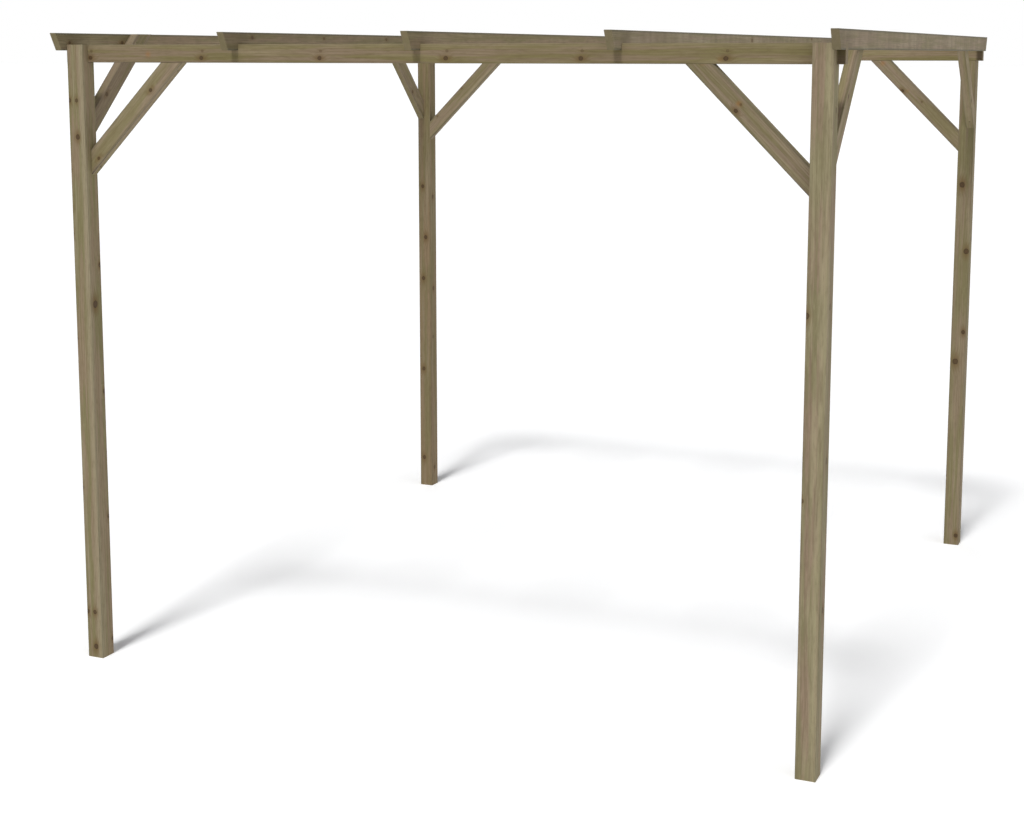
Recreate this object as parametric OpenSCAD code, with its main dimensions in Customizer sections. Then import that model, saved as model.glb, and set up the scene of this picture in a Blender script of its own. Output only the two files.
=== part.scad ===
// Open timber carport frame: four square posts, two beams, five rafters
// with splayed ends, and eight knee braces.
//
// X runs along the beams, Y along the rafters, Z is up. The origin is the
// centre of the frame at floor level.

/* [Frame] */
// Width over the outer faces of the posts, along the beams
frame_w = 2930; // [2200:10:4000]
// Depth over the outer faces of the posts, along the rafters
frame_d = 3010; // [2200:10:4500]
// Height of the posts, which is also the top of the beams
post_h = 2410; // [2000:10:2800]

/* [Posts] */
// Side of the square posts
post_w = 70; // [60:1:100]
// Width of the chamfer on the long edges of every timber
arris = 2; // [1:0.5:4]

/* [Beams] */
// Thickness of the beams and of the knee braces
rail_t = 35; // [25:1:50]
// Depth of the beams, measured upright
beam_h = 67; // [50:1:100]

/* [Rafters] */
// Number of rafters, the two outer ones included
rafter_n = 5; // [3:1:7]
// Thickness of each rafter
rafter_t = 27; // [20:1:45]
// Depth of each rafter, measured upright
rafter_h = 65; // [50:1:100]
// Depth of the housing that drops each rafter over the beams
housing_h = 22; // [10:1:30]
// Length of each rafter beyond the outer faces of the posts, at its top edge
rafter_out = 63; // [40:1:200]
// How far the splayed end leans back from its top edge to its bottom edge
splay = 33; // [10:1:60]

/* [Knee braces] */
// Length of a brace along each of the two timbers it joins
brace_leg = 424; // [250:1:700]
// Width of a brace, across its length
brace_w = 67; // [45:1:90]

/* [Hidden] */
CORNERS = [["front_left", -1, -1], ["front_right", 1, -1], ["back_left", -1, 1], ["back_right", 1, 1]];

post_color = "#8d8163";
beam_color = "#87794f";
rafter_color = "#84796a";
brace_color = "#8a7a58";

// Outer faces of the posts and the inner faces that the braces meet
post_x = frame_w / 2;
post_y = frame_d / 2;
inner_x = post_x - post_w;
inner_y = post_y - post_w;

// The beams lie in the inner part of the post heads, flush with the inner faces
beam_y = inner_y + rail_t / 2;
beam_z = post_h - beam_h;

// The outer rafters run along the outer faces of the posts, over the beam ends
rafter_x = post_x + rafter_t / 2;
rafter_pitch = 2 * rafter_x / (rafter_n - 1);
rafter_z = post_h - housing_h;
rafter_top = rafter_z + rafter_h;
beam_len = frame_w + 2 * rafter_t;

// Overshoot of a cut past the face it opens through
past = 1;

// Section of a sawn timber with its four long edges chamfered, centred
module section(w, h) {
    c = arris;
    polygon([
        [-w / 2 + c, -h / 2], [w / 2 - c, -h / 2], [w / 2, -h / 2 + c], [w / 2, h / 2 - c],
        [w / 2 - c, h / 2], [-w / 2 + c, h / 2], [-w / 2, h / 2 - c], [-w / 2, -h / 2 + c]
    ]);
}

// A timber along X, its section's width in Y and its height in Z, centred on the origin
module timber_x(len, w, h)
    rotate([90, 0, 90]) linear_extrude(len, center = true) section(w, h);

// The front left post: its head is cut away on the inner side to house the beam
module post()
    color(post_color)
    translate([-post_x + post_w / 2, -post_y + post_w / 2, 0])
    difference() {
        linear_extrude(post_h) section(post_w, post_w);
        translate([-post_w / 2 - past, post_w / 2 - rail_t, post_h - beam_h])
            cube([post_w + 2 * past, rail_t + past, beam_h + past]);
    }

// The front beam, through both post heads and out to the outer rafters' outer faces
module beam()
    color(beam_color)
    translate([0, -beam_y, beam_z + beam_h / 2])
    timber_x(beam_len, rail_t, beam_h);

// A rafter over X = 0: splayed at both ends and housed over both beams
module rafter() {
    half = post_y + rafter_out;
    color(rafter_color)
    translate([0, 0, rafter_z + rafter_h / 2])
    difference() {
        rotate([0, 0, 90]) timber_x(2 * half, rafter_t, rafter_h);
        for (side = [-1, 1]) {
            // the wedge that splays the end
            rotate([90, 0, 90]) linear_extrude(rafter_t + 2 * past, center = true)
                polygon([
                    [side * half, rafter_h / 2],
                    [side * (half - splay), -rafter_h / 2],
                    [side * (half - splay), -rafter_h / 2 - past],
                    [side * (half + past), -rafter_h / 2 - past],
                    [side * (half + past), rafter_h / 2]
                ]);
            // the housing over the beam
            translate([0, side * beam_y, -rafter_h / 2])
                cube([rafter_t + 2 * past, rail_t, 2 * housing_h], center = true);
        }
    }
}

// A brace in the X-Z plane, rising to the right: its foot is mitred to an upright
// face at X = 0 and its head to a level face at Z = 0, one leg from the corner
module brace()
    color(brace_color)
    intersection() {
        translate([0, 0, -brace_leg]) rotate([0, -45, 0])
            translate([0, 0, brace_w / 2])
            timber_x(4 * brace_leg, rail_t, brace_w);
        translate([0, -rail_t, -brace_leg - past])
            cube([brace_leg + past, 2 * rail_t, brace_leg + past]);
    }

// Mirrors its children, made for the front left corner, to corner c of CORNERS
module at_corner(c)
    mirror([c[1] > 0 ? 1 : 0, 0, 0])
    mirror([0, c[2] > 0 ? 1 : 0, 0])
    children();

// Knee brace from a post to the underside of the beam, in the beam's plane
module beam_brace()
    translate([-inner_x, -beam_y, beam_z]) brace();

// Knee brace from a post to the inner face of the outer rafter, level with its top
module side_brace()
    translate([-post_x + rail_t / 2, -inner_y, rafter_top]) rotate([0, 0, 90]) brace();

for (c = CORNERS)
    at_corner(c) post();
beam();  // beam_front
mirror([0, 1, 0]) beam();  // beam_back
for (i = [1 : rafter_n])
    translate([(i - 1) * rafter_pitch - rafter_x, 0, 0]) rafter();
for (c = CORNERS)
    at_corner(c) beam_brace();
for (c = CORNERS)
    at_corner(c) side_brace();
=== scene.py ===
import math
import random

import bmesh
import bpy
from mathutils import Matrix, Vector


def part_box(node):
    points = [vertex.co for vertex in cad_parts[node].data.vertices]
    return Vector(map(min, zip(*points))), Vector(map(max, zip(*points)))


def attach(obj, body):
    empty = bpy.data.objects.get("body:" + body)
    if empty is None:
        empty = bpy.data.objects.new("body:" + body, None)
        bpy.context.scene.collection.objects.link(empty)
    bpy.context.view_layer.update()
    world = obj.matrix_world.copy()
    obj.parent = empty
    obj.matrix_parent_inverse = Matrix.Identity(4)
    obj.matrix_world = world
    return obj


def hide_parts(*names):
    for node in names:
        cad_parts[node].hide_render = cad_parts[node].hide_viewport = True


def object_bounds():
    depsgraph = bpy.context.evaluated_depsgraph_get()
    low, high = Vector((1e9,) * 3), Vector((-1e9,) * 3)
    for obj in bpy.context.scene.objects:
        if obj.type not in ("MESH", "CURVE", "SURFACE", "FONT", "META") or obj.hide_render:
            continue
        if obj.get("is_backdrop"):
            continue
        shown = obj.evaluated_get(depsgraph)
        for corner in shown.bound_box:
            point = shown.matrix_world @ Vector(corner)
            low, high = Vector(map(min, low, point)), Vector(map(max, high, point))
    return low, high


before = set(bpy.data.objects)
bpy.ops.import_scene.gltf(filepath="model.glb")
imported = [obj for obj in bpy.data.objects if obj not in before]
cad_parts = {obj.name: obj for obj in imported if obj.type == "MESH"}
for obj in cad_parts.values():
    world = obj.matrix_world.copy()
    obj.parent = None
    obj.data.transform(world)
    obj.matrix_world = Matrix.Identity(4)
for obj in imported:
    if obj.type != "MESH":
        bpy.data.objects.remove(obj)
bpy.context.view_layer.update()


# ---------------------------------------------------------------------------------------------
# POSTS
# Four square posts of pressure-treated softwood, sawn from small logs and planed. Each head is
# cut away on its inner half, and the beam is let into that cut, flush with the inner face.

class Value:
    """One output in a material's nodes. Sums and products of values add their Math nodes."""

    def __init__(self, finish, socket):
        self.finish = finish
        self.socket = socket

    def output(self, name):
        """Another output of the same node."""
        return Value(self.finish, self.socket.node.outputs[name])

    def __add__(self, other):
        return self.finish.maths("ADD", self, other)

    def __sub__(self, other):
        return self.finish.maths("SUBTRACT", self, other)

    def __rsub__(self, other):
        return self.finish.maths("SUBTRACT", other, self)

    def __mul__(self, other):
        return self.finish.maths("MULTIPLY", self, other)

    def __truediv__(self, other):
        return self.finish.maths("DIVIDE", self, other)

    def __pow__(self, other):
        return self.finish.maths("POWER", self, other)

    __radd__ = __add__
    __rmul__ = __mul__


class Finish:
    """The nodes of one material, or of the surroundings."""

    def __init__(self, owner):
        owner.use_nodes = True
        self.tree = owner.node_tree
        self.tree.nodes.clear()

    def node(self, kind, sockets, settings=None, out=0):
        """Adds a node with its settings, then the values or links of its sockets."""
        made = self.tree.nodes.new(kind)
        for setting, value in (settings or {}).items():
            setattr(made, setting, value)
        by_identifier = {socket.identifier: socket for socket in made.inputs}
        for name, value in sockets.items():
            if isinstance(value, Value):
                self.tree.links.new(value.socket, by_identifier[name])
            else:
                by_identifier[name].default_value = value
        return Value(self, made.outputs[out]) if made.outputs else None

    def maths(self, operation, *values):
        names = ("Value", "Value_001")
        return self.node("ShaderNodeMath", dict(zip(names, values)), {"operation": operation})

    def vector(self, operation, first, second, out="Vector"):
        sockets = {"Vector": first, "Vector_001": second}
        return self.node("ShaderNodeVectorMath", sockets, {"operation": operation}, out)

    def ramp(self, value, low, high, top=1.0):
        """0 where value is at low, turning smoothly to top where it is at high."""
        sockets = {"Value": value, "From Min": low, "From Max": high, "To Min": 0.0, "To Max": top}
        return self.node("ShaderNodeMapRange", sockets, {"interpolation_type": "SMOOTHSTEP"})

    def mix(self, first, second, share):
        """The first colour, with that share of the second in it."""
        sockets = {"A_Color": first, "B_Color": second, "Factor_Float": share}
        return self.node("ShaderNodeMix", sockets, {"data_type": "RGBA"}, out=2)

    def noise(self, point, ripples, detail, roughness=0.5):
        """Smooth noise, 0 to 1, with that many ripples a metre along each axis of point."""
        scaled = self.vector("MULTIPLY", point, ripples)
        sockets = {"Vector": scaled, "Scale": 1.0, "Detail": detail, "Roughness": roughness}
        return self.node("ShaderNodeTexNoise", sockets)


def tone(code, shade=1.0):
    """A colour written as #rrggbb, as the linear colour that a shader takes, times shade."""
    channels = [int(code[i:i + 2], 16) / 255 for i in (1, 3, 5)]
    linear = [c / 12.92 if c <= 0.04045 else ((c + 0.055) / 1.055) ** 2.4 for c in channels]
    return (*(c * shade for c in linear), 1.0)


def metres(*sizes):
    """Sizes in millimetres, as metres."""
    return [size / 1000 for size in sizes]


def lay(origin, along, across):
    """The place of a timber: X across it, Y through it and Z along it, from origin."""
    through = along.cross(across)
    turn = Matrix((across, through, along)).transposed()
    return Matrix.Translation(origin) @ turn.to_4x4()


# The noise in the wood: ripples a metre across, through and along it, detail, roughness
RIPPLE = ((260, 260, 120), 1.0, 0.5)  # the unevenness of every edge
WANDER = ((0, 0, 1.1), 1.0, 0.5)  # the log's heart, which isn't straight
WAVE = ((22, 22, 2.6), 2.0, 0.5)  # the year rings, which aren't round
STREAK = ((50, 50, 2.4), 3.0, 0.5)  # where the wood took up more or less of the treatment
BLOOM = ((9, 9, 3.4), 2.0, 0.5)  # the same, more broadly
PALE = ((44, 44, 2.4), 2.0, 0.5)  # paler streaks
MOTTLE = ((120, 120, 26), 2.0, 0.6)
FIBRE = ((900, 900, 9), 2.0, 0.6)
SPECK = ((420, 420, 90), 1.0, 0.5)
SAW_MARKS = ((3, 3, 21), 1.0, 0.4)
STREAK_SHARE, BLOOM_SHARE = 0.7, 0.3

# Where a noise starts to show in the colour, where it shows in full, and how strongly it does
OLIVE_SHOWS = (0.42, 0.58)
PALE_SHOWS = (0.48, 0.72, 0.65)
DARK_MOTTLE_SHOWS = (0.46, 0.76, 0.28)
LIGHT_MOTTLE_SHOWS = (0.46, 0.22, 0.22)
FIBRE_SHOWS = (0.44, 0.68, 0.34)
SPECK_SHOWS = (0.62, 0.8, 0.14)
SAW_MARKS_SHOW = (0.36, 0.7)

# The late wood: how late in its year it darkens, where the year ends, and how strongly it shows
LATE_RISE = 2.6
YEAR_END = (1.0, 0.9)
LATE_SHOWS = 0.44

# How strongly the other grain shows: round a knot, in its core and bark, and at the ends
SWELL_CURVE, SWELL_SHOWS = 1.5, 0.9
CORE_SHOWS, CORE_RINGS_SHOW = 0.96, 0.3
BARK_SHOWS = 0.6
END_SHOWS, END_RINGS_SHOW = 0.55, 0.35

# How far each raises the surface, and what makes it rough
FIBRE_RAISES, LATE_RAISES, MOTTLE_RAISES, CORE_RAISES = 0.55, 0.5, 0.4, 0.5
ROUGHNESS, FIBRE_ROUGHENS, CORE_SMOOTHS = 0.74, 0.14, 0.16

# Sizes in the wood, in metres
RING = 0.0055  # from one year ring to the next
HEART_WANDER = 0.03
RING_WAVE = 0.009
RING_BULGE = 0.009  # of the year rings round a knot
KNOT_RING = 0.0016  # from one ring in a knot to the next
NO_KNOT = 1.0  # how far off the nearest knot is where there is none
SAP_WAVER = 0.03
END_WAVER = 0.006
ARRIS_WAVER = 0.002
GREYING = (0.0115, 0.0008)  # from the arris to where it starts, and to where it is full
RELIEF = 0.0007

# Lengths along the timber count for less, which draws out a knot and the swelling round it
CORE_SQUASH, SWELL_SQUASH = 0.9, 0.5

# Shares of the radius of a knot or stain, and of how far the painted shade at an end reaches
KNOT_WAVER = 0.4
CORE_EDGE, CORE_FULL = 1.4, 0.85
BARK_MIDDLE, BARK_WIDTH = 1.08, 0.28
SWELL_REACH = 3.2
STAIN_WAVER, STAIN_REACH = 0.5, 5 / 3
END_SHADE_EDGE, END_SHADE_FULL = 1.35, 0.8

RESIN = "#9a6c3c"
# the dark of the painted shade at the ends of beams and rafters, where rafters and post heads
# shade them
END_SHADE_COLOUR = "#3f3220"
ARRIS_GREY = "#5a5746"
KNOT_GRAIN = "#6a522e"
KNOT_CORE = "#43301a"
KNOT_BARK = "#2a1d0d"


def knots_in(wood, local, ripple, knots):
    """The knots' cores, their bark, the swelling of the grain, and how far off the nearest is."""
    core, bark, swell, nearest = 0.0, 0.0, 0.0, NO_KNOT
    squat = wood.vector("MULTIPLY", local, (1, 1, CORE_SQUASH))
    long = wood.vector("MULTIPLY", local, (1, 1, SWELL_SQUASH))
    for *measures, strength in knots:
        along, across, through, radius = metres(*measures)
        near = wood.vector("DISTANCE", squat, (across, through, CORE_SQUASH * along), "Value")
        near = near + ripple * KNOT_WAVER * radius
        nearest = wood.maths("MINIMUM", nearest, near)
        solid = wood.ramp(near, CORE_EDGE * radius, CORE_FULL * radius, strength)
        core = wood.maths("MAXIMUM", core, solid)
        rim = wood.maths("ABSOLUTE", near - BARK_MIDDLE * radius)
        bark = wood.maths("MAXIMUM", bark, wood.ramp(rim, BARK_WIDTH * radius, 0.0, strength))
        off = wood.vector("DISTANCE", long, (across, through, SWELL_SQUASH * along), "Value")
        swell = wood.maths("MAXIMUM", swell, wood.ramp(off, SWELL_REACH * radius, 0.0, strength))
    return core, bark, swell, nearest


def stains_in(wood, local, ripple, stains):
    """Stains of resin, with soft edges."""
    amber = 0.0
    for *measures, strength in stains:
        along, across, through, radius = metres(*measures)
        near = wood.vector("DISTANCE", local, (across, through, along), "Value")
        near = near + ripple * STAIN_WAVER * radius
        amber = wood.maths("MAXIMUM", amber, wood.ramp(near, STAIN_REACH * radius, 0.0, strength))
    return amber


def softwood(
    name, place, size, heart, tones, knots, grey, shade=1.0, stains=(), sawn=0.0, sap=None,
    end_shade=None,
):
    """Treated softwood as a solid: year rings round the heart, streaks, knots and greyed arrises.

    size is the timber's across, through and along, in metres. tones are the wood, its greener
    streaks, its paler streaks, its late wood and its end grain, and shade makes all but the last
    lighter or darker. grey is how far the arrises are greyed, and sawn how far saw marks show.

    The rest is in millimetres from place. heart is where the log's centre lies, as (across,
    through). A knot or stain is (along, across, through, radius, strength), and sap, a pale
    streak of sapwood along the whole timber, is (across, through, radius, strength). The last
    argument is painted shade at both ends: how far from each end it reaches, and how dark it is.
    """
    material = bpy.data.materials.new(name)
    wood = Finish(material)
    whole = wood.node("ShaderNodeTexCoord", {}, out="Object")
    turned = {"Location": place.to_translation(), "Rotation": place.to_euler()}
    local = wood.node("ShaderNodeMapping", {"Vector": whole, **turned}, {"vector_type": "TEXTURE"})
    across = wood.node("ShaderNodeSeparateXYZ", {"Vector": local}, out="X")
    through = across.output("Y")
    along = across.output("Z")

    # Each timber is cut from its own place in the noise
    dice = random.Random(name)
    own = wood.vector("ADD", local, [dice.uniform(0, 40) for _ in range(3)])
    ripple = wood.noise(own, *RIPPLE)
    core, bark, swell, nearest = knots_in(wood, local, ripple, knots)

    # Year rings, which wander along the log and bulge round the knots
    heart_across, heart_through = metres(*heart)
    aside = across - heart_across + wood.noise(own, *WANDER) * HEART_WANDER
    from_heart = (aside ** 2 + (through - heart_through) ** 2) ** 0.5
    bent = from_heart + wood.noise(own, *WAVE) * RING_WAVE + swell * RING_BULGE
    year = wood.maths("FRACT", bent / RING)
    late = year ** LATE_RISE * wood.ramp(year, *YEAR_END)

    # Streaks of the treatment, paler streaks and the sapwood
    tan, olive, light, dark = (tone(code, shade) for code in tones[:4])
    treated = wood.noise(own, *STREAK) * STREAK_SHARE + wood.noise(own, *BLOOM) * BLOOM_SHARE
    colour = wood.mix(tan, olive, wood.ramp(treated, *OLIVE_SHOWS))
    pale = wood.noise(own, *PALE)
    colour = wood.mix(colour, light, wood.ramp(pale, *PALE_SHOWS))
    if sap:
        *measures, strength = sap
        sap_across, sap_through, sap_radius = metres(*measures)
        level = wood.vector("MULTIPLY", local, (1, 1, 0))
        off = wood.vector("DISTANCE", level, (sap_across, sap_through, 0), "Value")
        off = off + (pale - 0.5) * SAP_WAVER
        colour = wood.mix(colour, light, wood.ramp(off, sap_radius, 0.0, strength))

    # Late wood, mottling, fine fibres and specks, and the marks of the saw
    mottle = wood.noise(own, *MOTTLE)
    fibre = wood.noise(own, *FIBRE)
    speck = wood.noise(own, *SPECK)
    colour = wood.mix(colour, dark, late * LATE_SHOWS)
    colour = wood.mix(colour, dark, wood.ramp(mottle, *DARK_MOTTLE_SHOWS))
    colour = wood.mix(colour, light, wood.ramp(mottle, *LIGHT_MOTTLE_SHOWS))
    colour = wood.mix(colour, dark, wood.ramp(fibre, *FIBRE_SHOWS))
    colour = wood.mix(colour, dark, wood.ramp(speck, *SPECK_SHOWS))
    if sawn:
        chatter = wood.noise(own, *SAW_MARKS)
        colour = wood.mix(colour, dark, wood.ramp(chatter, *SAW_MARKS_SHOW, sawn))

    # Resin, painted shade at the ends, and greyed arrises
    if stains:
        colour = wood.mix(colour, tone(RESIN, shade), stains_in(wood, local, ripple, stains))
    # Painted shade: each end darkens where rafters and post heads shade it
    if end_shade:
        reach, darkness = end_shade[0] / 1000, end_shade[1]
        to_end = wood.maths("MINIMUM", along, size[2] - along) + ripple * END_WAVER
        end_shade_mask = wood.ramp(to_end, END_SHADE_EDGE * reach, END_SHADE_FULL * reach, darkness)
        colour = wood.mix(colour, tone(END_SHADE_COLOUR), end_shade_mask)
    # Darker and greyer towards each long arris
    to_side = size[0] / 2 - wood.maths("ABSOLUTE", across)
    to_face = size[1] / 2 - wood.maths("ABSOLUTE", through)
    to_arris = wood.maths("MAXIMUM", to_side, to_face) + ripple * ARRIS_WAVER
    near_arris = wood.ramp(to_arris, *GREYING)
    colour = wood.mix(colour, tone(ARRIS_GREY, shade), near_arris * grey)

    # The knots, and the end grain
    growth = wood.maths("FRACT", nearest / KNOT_RING)
    colour = wood.mix(colour, tone(KNOT_GRAIN, shade), swell ** SWELL_CURVE * SWELL_SHOWS)
    colour = wood.mix(colour, tone(KNOT_CORE), core * (CORE_SHOWS - CORE_RINGS_SHOW * growth))
    colour = wood.mix(colour, tone(KNOT_BARK), bark * BARK_SHOWS)
    ends = wood.node("ShaderNodeAttribute", {}, {"attribute_name": "end_grain"}, out="Fac")
    colour = wood.mix(colour, tone(tones[4]), ends * (END_SHOWS + END_RINGS_SHOW * late))

    height = fibre * FIBRE_RAISES + late * LATE_RAISES
    height = height + mottle * MOTTLE_RAISES + core * CORE_RAISES
    raised = {"Height": height, "Strength": 0.55, "Distance": RELIEF}
    bump = wood.node("ShaderNodeBump", raised, out="Normal")
    rough = ROUGHNESS + FIBRE_ROUGHENS * fibre - CORE_SMOOTHS * core
    shader = {"Base Color": colour, "Roughness": rough, "Normal": bump, "Specular IOR Level": 0.3}
    surface = wood.node("ShaderNodeBsdfPrincipled", shader)
    wood.node("ShaderNodeOutputMaterial", {"Surface": surface})
    return material


ARRIS = 0.0022  # radius of the eased long edges
ARRIS_SEGMENTS = 4
TOUCH = 1e-5  # points nearer than this are at the same place
SQUARE_ON = 0.999  # the cosine past which two directions are the same
END_LEAN = 0.6  # how far a face looks along the timber where it is end grain


def finished(name, shape, material):
    """The shape as an object in the scene, with its material."""
    mesh = bpy.data.meshes.new(name)
    shape.to_mesh(mesh)
    shape.free()
    mesh.materials.append(material)
    piece = bpy.data.objects.new(name, mesh)
    bpy.context.scene.collection.objects.link(piece)
    return piece


def timber(name, outline, thickness, place, material):
    """A sawn timber: its side outline, as (along, across) points, given its thickness."""
    shape = bmesh.new()
    corners = [shape.verts.new((across, -thickness / 2, along)) for along, across in outline]
    side = shape.faces.new(corners)
    pushed = bmesh.ops.extrude_face_region(shape, geom=[side], use_keep_orig=True)
    moved = [part for part in pushed["geom"] if isinstance(part, bmesh.types.BMVert)]
    bmesh.ops.translate(shape, verts=moved, vec=(0, thickness, 0))
    bmesh.ops.recalc_face_normals(shape, faces=shape.faces)

    # The long edges at the corners of the section are eased, and the sawn ends left sharp
    low = min(across for _, across in outline) + TOUCH
    high = max(across for _, across in outline) - TOUCH

    def is_arris(edge):
        run = (edge.verts[0].co - edge.verts[1].co).normalized()
        outer = all(not low < vert.co.x < high for vert in edge.verts)
        return abs(run.z) > SQUARE_ON and outer

    arrises = [edge for edge in shape.edges if is_arris(edge)]
    bmesh.ops.bevel(
        shape, geom=arrises, offset=ARRIS, offset_type="OFFSET", segments=ARRIS_SEGMENTS,
        profile=0.5, affect="EDGES", clamp_overlap=True, material=-1,
    )

    # Only the round of an arris is shaded smooth, and a face across the timber is end grain
    ends = shape.faces.layers.float.new("end_grain")
    for face in shape.faces:
        lean = [abs(part) for part in face.normal]
        face.smooth = lean[2] < 1 - SQUARE_ON and max(lean) < SQUARE_ON
        face[ends] = 1.0 if lean[2] > END_LEAN else 0.0
    bmesh.ops.transform(shape, matrix=place, verts=shape.verts)
    return finished(name, shape, material)


def thrown(dice, *ranges):
    """What the dice give for each range, in turn."""
    return [dice.uniform(*span) for span in ranges]


def stand_for(piece, node):
    """The piece takes the place of a node of the frame, on the one body there is."""
    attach(piece, "root")
    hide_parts(node)


LEFT_TO_RIGHT = Vector((1, 0, 0))
FRONT_TO_BACK = Vector((0, 1, 0))
UP = Vector((0, 0, 1))
CORNERS = ("front_left", "front_right", "back_left", "back_right")

END_GRAIN = "#6f6546"
POST_TONES = {
    # the wood, its greener streaks, its paler streaks, its late wood, its end grain
    "post_front_left": ("#917f66", "#827b56", "#a5997e", "#695b3d", END_GRAIN),
    "post_front_right": ("#937f69", "#847c5b", "#a99f7e", "#695b42", END_GRAIN),
    "post_back_left": ("#8b775b", "#7e7350", "#96886e", "#5f5138", END_GRAIN),
    "post_back_right": ("#8f7e66", "#817955", "#9e9274", "#695b40", END_GRAIN),
}
POST_SAP = {
    # across to the right, through to the back, radius, strength
    "post_front_left": (29, -35, 24, 0.75),
    "post_front_right": (20, -35, 20, 0.6),
}
POST_HEARTS = {
    # across to the right, through to the back
    "post_front_left": (-46, 38),
    "post_front_right": (30, 54),
    "post_back_left": (52, 30),
    "post_back_right": (-34, 50),
}
POST_KNOTS = {
    # height, across to the right, through to the back, radius, strength
    "post_front_left": [
        (2200, -30, -35, 7, 0.9), (2200, 2, -35, 7, 0.8), (2062, 2, -35, 9, 0.95),
        (1938, -34, -30, 6, 0.6), (1790, -33, -28, 6, 0.5), (1690, -35, -31, 7, 0.6),
        (1566, 35, 29, 8, 0.9), (1417, 35, -7, 13, 1.0), (1283, -33, -35, 6, 0.5),
        (1068, 35, 30, 8, 0.9), (690, -35, -31, 8, 0.7), (565, 35, 30, 7, 0.9),
        (186, -31, -35, 8, 0.95), (186, 3, -35, 8, 0.9), (45, 3, -35, 10, 1.0),
        (63, 35, 30, 7, 0.9),
    ],
    "post_front_right": [
        (1550, -33, -35, 9.5, 0.9), (1578, 35, -4, 10, 0.5), (1076, 35, 2, 10, 0.6),
        (945, -34, -34, 7, 0.7), (576, 35, 5, 9, 0.8), (2200, 35, 10, 8, 0.6),
    ],
    "post_back_left": [
        (1663, -10, -35, 9, 0.9), (1606, 35, -5, 10, 0.8), (1386, 6, -35, 10, 1.0),
        (1160, -9, -35, 10, 0.9), (1103, 35, -4, 10, 0.8), (834, 35, -10, 8, 0.5),
        (657, -11, -35, 10, 0.9), (157, -12, -35, 10, 0.9), (99, 35, -3, 9, 0.8),
    ],
    "post_back_right": [
        (1760, -9, -35, 12, 1.0), (1443, 21, -35, 12, 0.9), (1053, 21, -35, 9, 0.95),
        (908, -11, -35, 13, 0.9), (47, 22, -35, 9, 1.0), (1500, 35, 8, 9, 0.7),
    ],
}
POST_FACE = 35  # from a post's middle to its faces, in millimetres
# The knots that dice place on the other two faces: height, off the middle, and radius
HEIGHTS = (100, 2200)
OFF_BACK_MIDDLE, OFF_LEFT_MIDDLE = (-26, 26), (-20, 20)
POST_RADII = (6, 10)
BACK_COUNT, LEFT_COUNT = 4, 3
POST_STRENGTH = 0.9
beam_box = {side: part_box(f"beam_{side}") for side in ("front", "back")}

for corner in CORNERS:
    node = f"post_{corner}"
    low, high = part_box(node)
    front = corner.startswith("front")
    inward = 1 if front else -1
    beam_low, beam_high = beam_box["front" if front else "back"]
    foot = Vector(((low.x + high.x) / 2, (low.y + high.y) / 2, low.z))
    width = high.x - low.x
    half = width / 2
    height = high.z - low.z
    seat = beam_low.z - low.z
    cheek = half - (beam_high.y - beam_low.y)
    outline = [
        (0, -half), (0, half), (seat, half), (seat, cheek), (height, cheek), (height, -half),
    ]

    dice = random.Random(node)
    knots = list(POST_KNOTS[node])
    for _ in range(BACK_COUNT):
        up, across, radius = thrown(dice, HEIGHTS, OFF_BACK_MIDDLE, POST_RADII)
        knots.append((up, across, POST_FACE, radius, POST_STRENGTH))
    for _ in range(LEFT_COUNT):
        up, through, radius = thrown(dice, HEIGHTS, OFF_LEFT_MIDDLE, POST_RADII)
        knots.append((up, -POST_FACE, through, radius, POST_STRENGTH))
    material = softwood(
        f"treated_{node}", lay(foot, UP, LEFT_TO_RIGHT), (width, width, height),
        POST_HEARTS[node], POST_TONES[node], knots, grey=0.2, sap=POST_SAP.get(node),
    )
    place = lay(foot, UP, FRONT_TO_BACK * inward)
    piece = timber(f"sawn_{node}", outline, width, place, material)
    stand_for(piece, node)


# ---------------------------------------------------------------------------------------------
# BEAMS
# Two beams of the same treated softwood, on edge, one across the front posts and one across the
# back posts. They run on past the posts, and the outer rafters sit over their ends.

BEAM_TONES = ("#8d7b63", "#7e744c", "#988b6a", "#645637", "#8b7d63")
BEAM_SHADES = {"front": 0.95, "back": 1.04}
BEAM_HEART = (-30, -52)  # level with the beam's lower part, and behind it
BEAM_SAP = (33, 17, 20, 0.6)  # along the front arris at the top
# Painted shadow on the beam ends, where the outer rafters shade them
BEAM_END_SHADE = (27, 0.62)  # the ends, as far as the outer rafters cover them
BEAM_WHORLS = {"front": (109, 6), "back": (400, 5)}  # the first ring of branches, and how many
WHORL = 498  # millimetres of growth between one ring of branches and the next
WHORL_KNOTS = (
    # along from the ring, up from the middle, through to the front, radius, strength
    (0, -16, 17, 7.5, 0.95), (5, 9, 17, 5, 0.45), (60, -8, -17, 8, 0.9),
)
BEAM_STAINS = {"front": [(372, -3, 17, 14, 0.6), (2580, -20, 17, 12, 0.35)], "back": []}

POST_MIDDLE = 0.062  # from a beam's end to the middle of its post
SCREW_RISE, SCREW_STAGGER = 0.014, 0.01  # of each post's two screws, up and along from its middle
CIRCLE_SIDES = 24
LOBES = 6
PATCH = 0.007  # half the side of the square that is marked out round a hole
HOLE_MOUTH, HOLE_FLOOR, HOLE_DEPTH = 0.0046, 0.0022, 0.003

fixings = []  # the place of each screw, with Z out of the wood


def ring(shape, place, radius, depth, lobes=0.0):
    """A closed loop of edges across place's Z axis, at a depth, wavy where it has lobes."""
    circle = bmesh.ops.create_circle(shape, cap_ends=False, segments=CIRCLE_SIDES, radius=radius)
    for vert in circle["verts"]:
        vert.co *= 1 + lobes * math.cos(LOBES * math.atan2(vert.co.y, vert.co.x))
        vert.co.z = -depth
    bmesh.ops.transform(shape, matrix=place, verts=circle["verts"])
    return list({edge for vert in circle["verts"] for edge in vert.link_edges})


def join_rings(shape, rings):
    """Walls from each ring to the next."""
    for first, second in zip(rings, rings[1:]):
        bmesh.ops.bridge_loops(shape, edges=first + second)


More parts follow.
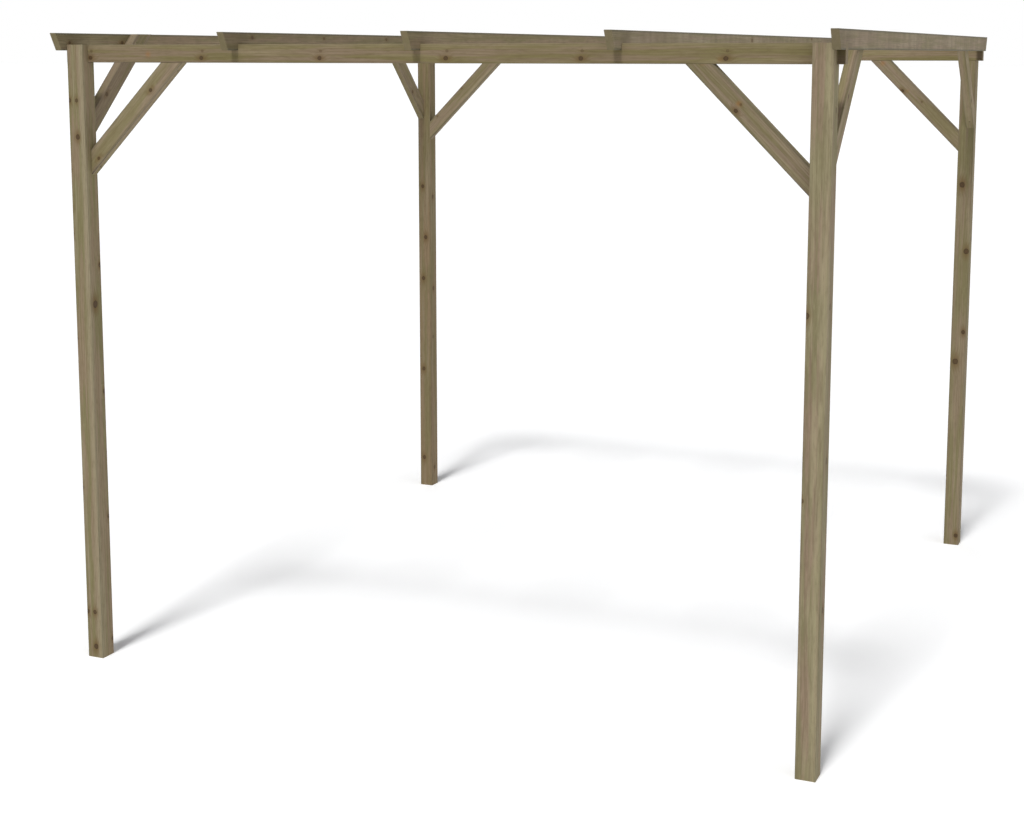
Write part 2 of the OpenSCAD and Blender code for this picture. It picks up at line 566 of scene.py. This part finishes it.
def face_round(shape, centre, normal, ways):
    """The face that looks along normal and has centre inside it, both ways."""
    for face in shape.faces:
        steps = [vert.co - centre for vert in face.verts]
        level = abs(steps[0].dot(normal)) < TOUCH and face.normal.dot(normal) > SQUARE_ON
        reaches = [[step.dot(way) for step in steps] for way in ways]
        if level and all(min(reach) < 0 < max(reach) for reach in reaches):
            return face


def countersink(piece, grain, spots):
    """Sinks a hole for a screw at each spot, which is a point and the way its face looks."""
    shape = bmesh.new()
    shape.from_mesh(piece.data)
    along = grain.to_3x3().col[2].normalized()
    for point, looks in spots:
        centre = grain @ Vector(point)
        normal = grain.to_3x3() @ Vector(looks)
        beside = normal.cross(along)

        # A small square of the face is marked out and taken away, and walls run down to the hole
        for way in (along, -along, beside, -beside):
            face = face_round(shape, centre, normal, (along, beside))
            bmesh.ops.bisect_plane(
                shape, geom=[face, *face.edges, *face.verts], plane_co=centre + way * PATCH,
                plane_no=way,
            )
        face = face_round(shape, centre, normal, (along, beside))
        border = list(face.edges)
        bmesh.ops.delete(shape, geom=[face], context="FACES_ONLY")
        spot = Matrix((along, beside, normal)).transposed().to_4x4()
        spot.translation = centre
        mouth = ring(shape, spot, HOLE_MOUTH, 0.0)
        floor = ring(shape, spot, HOLE_FLOOR, HOLE_DEPTH)
        join_rings(shape, [border, mouth, floor])
        bmesh.ops.edgeloop_fill(shape, edges=floor)
        fixings.append(spot)
    bmesh.ops.recalc_face_normals(shape, faces=shape.faces)
    shape.to_mesh(piece.data)
    shape.free()


for side in ("front", "back"):
    node = f"beam_{side}"
    low, high = beam_box[side]
    depth = high.z - low.z
    thickness = high.y - low.y
    length = high.x - low.x
    start = Vector((low.x, (low.y + high.y) / 2, (low.z + high.z) / 2))
    outline = [(0, -depth / 2), (length, -depth / 2), (length, depth / 2), (0, depth / 2)]
    grain = lay(start, LEFT_TO_RIGHT, UP)
    first, count = BEAM_WHORLS[side]
    knots = [
        (first + number * WHORL + past, *knot)
        for number in range(count)
        for past, *knot in WHORL_KNOTS
    ]
    material = softwood(
        f"treated_{node}", grain, (depth, thickness, length), BEAM_HEART, BEAM_TONES, knots,
        grey=0.15, shade=BEAM_SHADES[side], stains=BEAM_STAINS[side], sap=BEAM_SAP,
        end_shade=BEAM_END_SHADE,
    )
    piece = timber(f"sawn_{node}", outline, thickness, grain, material)
    inner = -1 if side == "front" else 1
    spots = []
    for middle in (POST_MIDDLE, length - POST_MIDDLE):
        for way in (-1, 1):
            point = (way * SCREW_RISE, inner * thickness / 2, middle + way * SCREW_STAGGER)
            spots.append((point, (0, inner, 0)))
    countersink(piece, grain, spots)
    stand_for(piece, node)


# ---------------------------------------------------------------------------------------------
# RAFTERS
# Five narrower rafters from front to back, sawn thinner than the beams. Each is notched over
# both beams and runs on past them to ends that are cut back at a slant.

SPLAY = 0.033  # how far the slant leans back from the top edge to the bottom edge
BROWN_TONES = ("#8f7d64", "#807654", "#9b8d70", "#62543d", "#887d5b")
GREY_TONES = ("#90806b", "#81785a", "#9d9178", "#675a46", "#7f7455")
RAFTER_LOOKS = {
    # tones, shade, how far saw marks show, strength of the knots on the right face
    "rafter_1": (BROWN_TONES, 1.0, 0.14, 0.85),
    "rafter_2": (BROWN_TONES, 0.93, 0.14, 0.85),
    "rafter_3": (BROWN_TONES, 1.1, 0.14, 0.85),
    "rafter_4": (GREY_TONES, 1.22, 0.36, 0.85),
    "rafter_5": (GREY_TONES, 1.13, 0.36, 0.25),
}
# Painted shade on the rafter ends, over and in front of the beams
RAFTER_END_SHADE = (160, 0.2)  # the ends, to a little past the beams
RAFTER_FACE = 13  # from a rafter's middle to just under its faces, in millimetres
RAFTER_KNOTS_AND_SHADE = {
    # along from the front, up from the middle, through to the right, radius, strength
    # rafter_1's two are painted shade: dark spots in the corners over the post head and by the
    # brace head
    "rafter_1": [(407, -2, 13, 7, 0.95), (82, -4, 13, 6, 0.8)],
    "rafter_2": [(196, 14, 13, 6, 0.85), (721, 14, 13, 5, 0.8), (1248, 15, 13, 6, 0.8)],
}
# Where the dice put a face's first knot, how far apart the others are, and where they end
LEFT_FIRST, RIGHT_FIRST = (120, 300), (1500, 1900)
KNOT_STEP = (380, 640)
LAST_KNOT = 3000
RAFTER_SPREAD, RAFTER_RADII = (-22, 24), (4, 7)  # how far up or down a knot is, and its radius
LEFT_STRENGTH = 0.85
THIN_HEART = ((-50, 50), (40, 60))  # across and through: the log's centre lies beside the timber

for node, (tones, shade, sawn, right_strength) in RAFTER_LOOKS.items():
    low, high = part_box(node)
    depth = high.z - low.z
    thickness = high.x - low.x
    length = high.y - low.y
    half = depth / 2
    start = Vector(((low.x + high.x) / 2, low.y, (low.z + high.z) / 2))
    notch_top = beam_box["front"][1].z - low.z - half
    outline = [(SPLAY, -half)]
    middles = []
    for beam_low, beam_high in beam_box.values():
        near = beam_low.y - low.y
        far = beam_high.y - low.y
        outline += [(near, -half), (near, notch_top), (far, notch_top), (far, -half)]
        middles.append((near + far) / 2)
    outline += [(length - SPLAY, -half), (length, half), (0, half)]
    grain = lay(start, FRONT_TO_BACK, UP)
    dice = random.Random(node)
    knots = list(RAFTER_KNOTS_AND_SHADE.get(node, []))
    for face, first, strength in (
        (-RAFTER_FACE, LEFT_FIRST, LEFT_STRENGTH), (RAFTER_FACE, RIGHT_FIRST, right_strength),
    ):
        along = dice.uniform(*first)
        while along < LAST_KNOT:
            across, radius = thrown(dice, RAFTER_SPREAD, RAFTER_RADII)
            knots.append((along, across, face, radius, strength))
            along += dice.uniform(*KNOT_STEP)
    heart = thrown(dice, *THIN_HEART)
    material = softwood(
        f"treated_{node}", grain, (depth, thickness, length), heart, tones, knots, grey=0.85,
        shade=shade, sawn=sawn, end_shade=RAFTER_END_SHADE,
    )
    piece = timber(f"sawn_{node}", outline, thickness, grain, material)
    countersink(piece, grain, [((half, 0, middle), (1, 0, 0)) for middle in middles])
    stand_for(piece, node)


# ---------------------------------------------------------------------------------------------
# KNEE BRACES
# Eight braces cut from beam stock, mitred at 45 degrees at both ends. Four stand in the plane of
# the beams, and four lie against the inner faces of the outer rafters.

BRACE_WIDTH = 0.067
BRACE_TONES = ("#907f69", "#817755", "#9c9072", "#66573b", END_GRAIN)
BRACE_SHADES = {
    "brace_front_left": 1.08, "brace_front_right": 0.93, "brace_back_left": 1.01,
    "brace_back_right": 0.99, "side_brace_front_left": 0.91, "side_brace_back_left": 1.0,
    "side_brace_front_right": 1.1, "side_brace_back_right": 1.12,
}
BRACE_GREYS = {"brace": 0.5, "side_brace": 0.25}
BRACE_FACE = 17  # from a brace's middle to just under its faces, in millimetres
BRACE_KNOTS = {
    # along from the foot, across away from the bay, through, radius, strength
    "brace_front_left": [(427, -5, 17, 7, 0.9), (68, -14, 17, 6, 0.85)],
    "brace_front_right": [(373, -17, -17, 6.5, 1.0), (376, 9, -17, 4, 0.6)],
    "brace_back_left": [(120, 22, 17, 5, 0.5), (330, 25, 17, 5, 0.5)],
    "brace_back_right": [(389, -24, -17, 6.5, 1.0), (287, 5, -17, 5, 0.5)],
}
BRACE_STAINS = {
    "brace_front_right": [(382, 6, -17, 12, 0.75), (563, 16, -17, 16, 0.4)],
    "brace_back_right": [(372, -8, -17, 10, 0.4), (550, -2, -17, 16, 0.6)],
}
# The knot that dice place on a face without one: along, across, and radius
BRACE_REACH, BRACE_SPREAD, BRACE_RADII = (90, 500), (-24, 24), (5, 8)
BRACE_STRENGTH = 0.8
MITRE_SCREW = 0.042  # from a tip of a brace to the screw through its mitred end
RAFTER_SCREWS = ((0.014, 0.505), (-0.014, 0.532))  # across and along a side brace

for corner in CORNERS:
    for kind in ("brace", "side_brace"):
        node = f"{kind}_{corner}"
        low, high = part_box(node)
        centre = (low + high) / 2
        bay_x = -math.copysign(1, centre.x)
        bay_y = -math.copysign(1, centre.y)
        if kind == "brace":
            inward = LEFT_TO_RIGHT * bay_x
            thickness = high.y - low.y
        else:
            inward = FRONT_TO_BACK * bay_y
            thickness = high.x - low.x
        leg = high.z - low.z
        foot = centre - inward * leg / 2 - UP * leg / 2
        rise = (inward + UP).normalized()
        outward = (UP - inward).normalized()
        # The edge towards the bay is the longest: it runs from the foot's tip to the head's
        length = leg * math.sqrt(2)
        start = foot + outward * BRACE_WIDTH / 2
        half = BRACE_WIDTH / 2
        outline = [(0, -half), (length, -half), (length - BRACE_WIDTH, half), (BRACE_WIDTH, half)]
        grain = lay(start, rise, outward)
        dice = random.Random(node)
        knots = list(BRACE_KNOTS.get(node, []))
        known = {knot[2] for knot in knots}
        for face in (BRACE_FACE, -BRACE_FACE):
            if face not in known:
                along, across, radius = thrown(dice, BRACE_REACH, BRACE_SPREAD, BRACE_RADII)
                knots.append((along, across, face, radius, BRACE_STRENGTH))
        heart = thrown(dice, *THIN_HEART)
        material = softwood(
            f"treated_{node}", grain, (BRACE_WIDTH, thickness, length), heart, BRACE_TONES, knots,
            grey=BRACE_GREYS[kind], shade=BRACE_SHADES[node], stains=BRACE_STAINS.get(node, ()),
        )
        piece = timber(f"sawn_{node}", outline, thickness, grain, material)
        spots = [((-half, 0, MITRE_SCREW), (-1, 0, 0))]
        if kind == "brace":
            spots.append(((-half, 0, length - MITRE_SCREW), (-1, 0, 0)))
        else:
            bay = math.copysign(1, rise.cross(outward).dot(LEFT_TO_RIGHT * bay_x))
            for across, along in RAFTER_SCREWS:
                spots.append(((across, bay * thickness / 2, along), (0, bay, 0)))
        countersink(piece, grain, spots)
        stand_for(piece, node)


# ---------------------------------------------------------------------------------------------
# SCREWS
# Countersunk screws with a bronze-green outdoor coating and a six-lobed recess: through the beams
# into the post heads, down through the rafters, and through both ends of every brace.

SCREW_HEAD = (
    # radius, depth below the face, how deep the lobes are
    (0.0020, 0.0028, 0.0),  # the neck under the head
    (0.0041, 0.0007, 0.0),  # the head's edge
    (0.0038, 0.0004, 0.0),  # the rim of its face
    (0.0017, 0.0004, 0.16),  # the mouth of the recess
    (0.0015, 0.0021, 0.16),  # the floor of the recess
)
BRONZE, GREEN, BARE_METAL = "#5e583c", "#7b7350", "#a39d8c"
COAT_CLOUDS = ((420, 420, 420), 3.0)  # ripples a metre, and detail
COAT_SCUFFS = ((1900, 1900, 1900), 1.0)
GREEN_SHOWS, METAL_SHOWS = (0.35, 0.65), (0.66, 0.8, 0.6)  # start, full and strength, as above
COAT_ROUGHNESS, CLOUDS_ROUGHEN = 0.38, 0.2

coated = bpy.data.materials.new("coated_screws")
coat = Finish(coated)
point = coat.node("ShaderNodeTexCoord", {}, out="Object")
cloud = coat.noise(point, *COAT_CLOUDS)
scuff = coat.noise(point, *COAT_SCUFFS)
colour = coat.mix(tone(BRONZE), tone(GREEN), coat.ramp(cloud, *GREEN_SHOWS))
colour = coat.mix(colour, tone(BARE_METAL), coat.ramp(scuff, *METAL_SHOWS))
raised = {"Height": scuff, "Strength": 0.3, "Distance": 0.0001}
bump = coat.node("ShaderNodeBump", raised, out="Normal")
rough = COAT_ROUGHNESS + CLOUDS_ROUGHEN * cloud
shader = {"Base Color": colour, "Roughness": rough, "Metallic": 0.6, "Normal": bump}
surface = coat.node("ShaderNodeBsdfPrincipled", shader)
coat.node("ShaderNodeOutputMaterial", {"Surface": surface})

heads = bmesh.new()
for spot in fixings:
    rings = [ring(heads, spot, *step) for step in SCREW_HEAD]
    join_rings(heads, rings)
    for loop in (rings[0], rings[-1]):
        bmesh.ops.edgeloop_fill(heads, edges=loop)
bmesh.ops.recalc_face_normals(heads, faces=heads.faces)
screws = finished("screws", heads, coated)
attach(screws, "root")


# ---------------------------------------------------------------------------------------------
# STUDIO
# A plain white floor, a broad key light from the front, and a white room. The camera stands at
# the right of the front, at beam height.

FLOOR_REACH = 300.0
FLOOR_LIT, FLOOR_SEEN = 0.95, 1.12  # how white the floor is as it lights, and as it is seen
AMBIENT = 0.145  # the light of the room itself


def seen_directly(finish):
    """1 where the camera, a reflection or a clear piece shows the surface, 0 where it lights."""
    camera = finish.node("ShaderNodeLightPath", {}, out="Is Camera Ray")
    glossy = camera.output("Is Glossy Ray")
    clear = camera.output("Is Transmission Ray")
    return finish.maths("MAXIMUM", finish.maths("MAXIMUM", camera, glossy), clear)


white = bpy.data.materials.new("white_floor")
paint = Finish(white)
lit = (FLOOR_LIT, FLOOR_LIT, FLOOR_LIT, 1.0)
seen = (FLOOR_SEEN, FLOOR_SEEN, FLOOR_SEEN, 1.0)
matt = paint.node("ShaderNodeBsdfDiffuse", {"Color": paint.mix(lit, seen, seen_directly(paint))})
paint.node("ShaderNodeOutputMaterial", {"Surface": matt})
ground = bmesh.new()
bmesh.ops.create_grid(ground, x_segments=1, y_segments=1, size=FLOOR_REACH)
floor = finished("floor", ground, white)
floor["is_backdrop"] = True

room = bpy.data.worlds.new("white_room")
bpy.context.scene.world = room
air = Finish(room)
brightness = AMBIENT + seen_directly(air) * (1 - AMBIENT)
glow = air.node("ShaderNodeBackground", {"Color": (1, 1, 1, 1), "Strength": brightness})
air.node("ShaderNodeOutputWorld", {"Surface": glow})


def sun(name, travel, level, spread, colour=(1, 1, 1)):
    """A lamp so far off that its rays are parallel. level 1 lights a white face as white."""
    lamp = bpy.data.lights.new(name, "SUN")
    lamp.energy = math.pi * level
    lamp.color = colour
    lamp.angle = math.radians(spread)
    placed = bpy.data.objects.new(name, lamp)
    placed.rotation_euler = Vector(travel).to_track_quat("-Z", "Y").to_euler()
    bpy.context.scene.collection.objects.link(placed)


sun("key_light_1", travel=(0.0, 0.43, -0.88), level=0.282, spread=9)
sun("key_light_2", travel=(0.0, 0.503, -0.88), level=0.282, spread=9)
sun("key_glow", travel=(0.0, 0.466, -0.88), level=0.195, spread=20)
sun("fill_light", travel=(-0.9, 0.35, -0.24), level=0.34, spread=80, colour=(0.98, 1.0, 1.06))
sun("back_light", travel=(0.6, -0.7, -0.2), level=0.17, spread=35, colour=(0.98, 1.0, 1.04))

TILT, TURN = 7.98, 23.63  # degrees that the camera looks down, and round to the left

view = bpy.data.cameras.new("camera")
view.lens = 59.01
view.sensor_width = 36.0
view.shift_y = -0.1221
view.clip_end = 2 * FLOOR_REACH
camera = bpy.data.objects.new("camera", view)
camera.location = (2.653, -6.711, 2.376)
camera.rotation_euler = (math.radians(90 - TILT), 0.0, math.radians(TURN))
bpy.context.scene.collection.objects.link(camera)
bpy.context.scene.camera = camera
bpy.context.scene.view_settings.view_transform = "Standard"

low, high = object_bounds()
